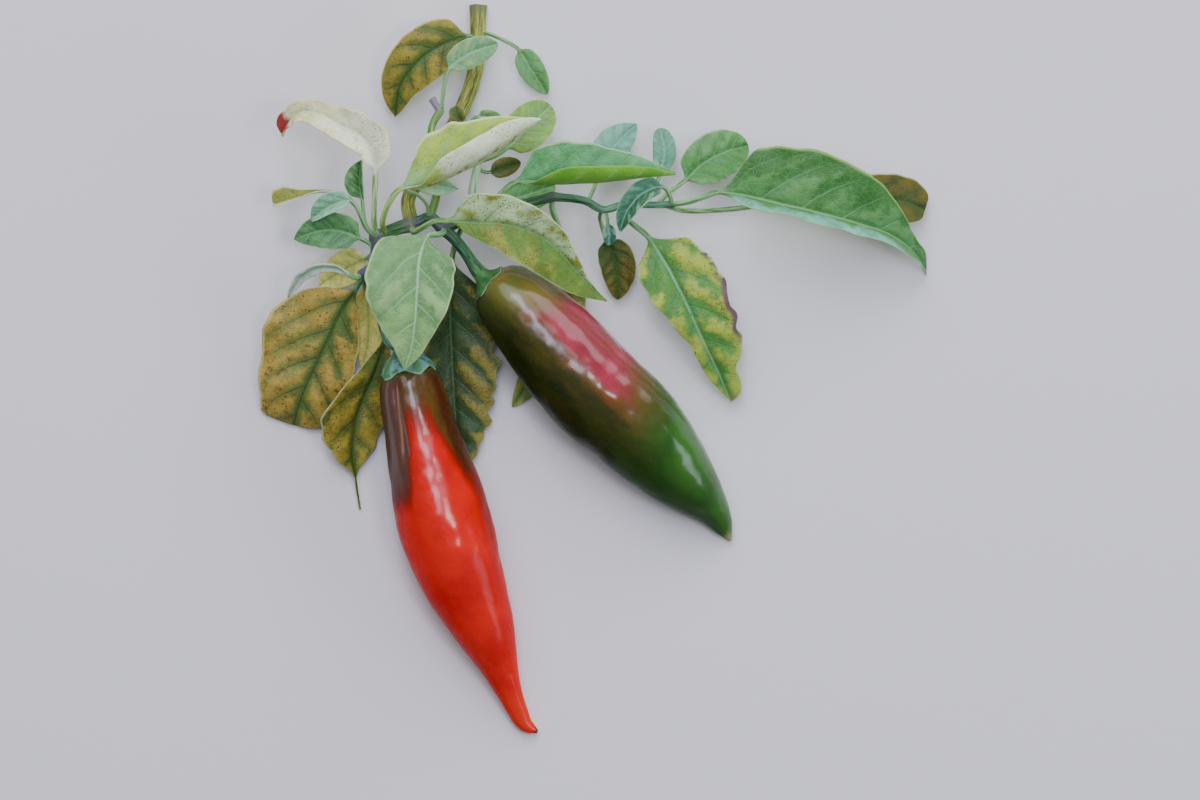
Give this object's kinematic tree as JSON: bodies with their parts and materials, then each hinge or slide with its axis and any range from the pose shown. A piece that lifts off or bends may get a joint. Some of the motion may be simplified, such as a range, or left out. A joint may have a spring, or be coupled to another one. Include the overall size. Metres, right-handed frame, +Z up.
{
  "type": "chilli pepper branch",
  "caption": "Cut branch of a chilli pepper plant lying down: forked green stem, curled and mottled leaves, and a ripe and an unripe long pepper under lobed calyxes.",
  "frame": {"origin": "middle of the branch's box, on the plane that the branch lies on", "axes": "+Y from the fruit tips towards the cut end of the main stem, +X towards the tip of the long right bough, +Z up from the plane"},
  "size_m": [0.2024, 0.2199, 0.0404],
  "materials": {
    "stem_green": "ridged green bark with pale stripes and a purple-grey cut stub",
    "node_purple": "purple-grey bark over the nodes",
    "shoot_green": "smooth pale green shoot",
    "red_skin": "glossy red skin, brown and dark green at the shoulder",
    "green_skin": "glossy green skin, olive and brown at the shoulder",
    "calyx_green": "satin green stalk and calyx with dark streaks",
    "leaf_cream": "cream leaf with grey-purple flecks",
    "leaf_yellow_green": "yellow-green leaf with brown specks",
    "leaf_pale": "pale grey-green leaf with light veins",
    "leaf_blue_green": "blue-green leaf with a satin bloom",
    "leaf_green": "mid green leaf with dark veins and a pale rim",
    "leaf_orange": "orange-yellow leaf with green veins and brown mottles",
    "leaf_olive": "olive leaf with yellow patches and brown specks",
    "leaf_dark": "dark green leaf with olive patches and brown specks"
  },
  "bodies": {
    "root": {"main_stem": "stem_green", "left_bough": "stem_green", "right_bough_middle": "stem_green", "right_bough_outer": "stem_green", "left_twig": "node_purple", "right_bough_inner": "node_purple", "broken_stub": "node_purple", "side_shoot": "shoot_green", "upper_shoot": "shoot_green", "red_fruit": "red_skin", "green_fruit": "green_skin", "red_fruit_stalk": "calyx_green", "green_fruit_stalk": "calyx_green", "cream_leaf": "leaf_cream", "curled_yellow_leaf": "leaf_yellow_green", "narrow_cup_leaf": "leaf_yellow_green", "speckled_leaf": "leaf_yellow_green", "back_tip_leaf": "leaf_yellow_green", "shoot_end_leaf": "leaf_yellow_green", "front_pale_leaf": "leaf_pale", "small_folded_leaf": "leaf_pale", "pale_far_leaf": "leaf_pale", "pale_top_leaf": "leaf_pale", "arched_edge_leaf": "leaf_pale", "blue_green_leaf": "leaf_blue_green", "small_right_leaf": "leaf_blue_green", "upper_far_leaf": "leaf_blue_green", "bud_leaf": "leaf_blue_green", "small_upright_leaf": "leaf_green", "left_green_leaf": "leaf_green", "folded_green_leaf": "leaf_green", "green_back_leaf": "leaf_green", "big_right_leaf": "leaf_green", "round_far_leaf": "leaf_green", "green_top_leaf": "leaf_green", "orange_leaf": "leaf_orange", "yellow_top_leaf": "leaf_orange", "yellow_back_leaf": "leaf_orange", "far_yellow_leaf": "leaf_orange", "drip_tip_leaf": "leaf_olive", "under_fruit_leaf": "leaf_olive", "hanging_leaf": "leaf_olive", "olive_bud_leaf": "leaf_olive", "olive_back_leaf": "leaf_olive", "olive_far_leaf": "leaf_olive", "olive_hanging_leaf": "leaf_olive", "dark_leaf": "leaf_dark"}
  },
  "joints": []
}
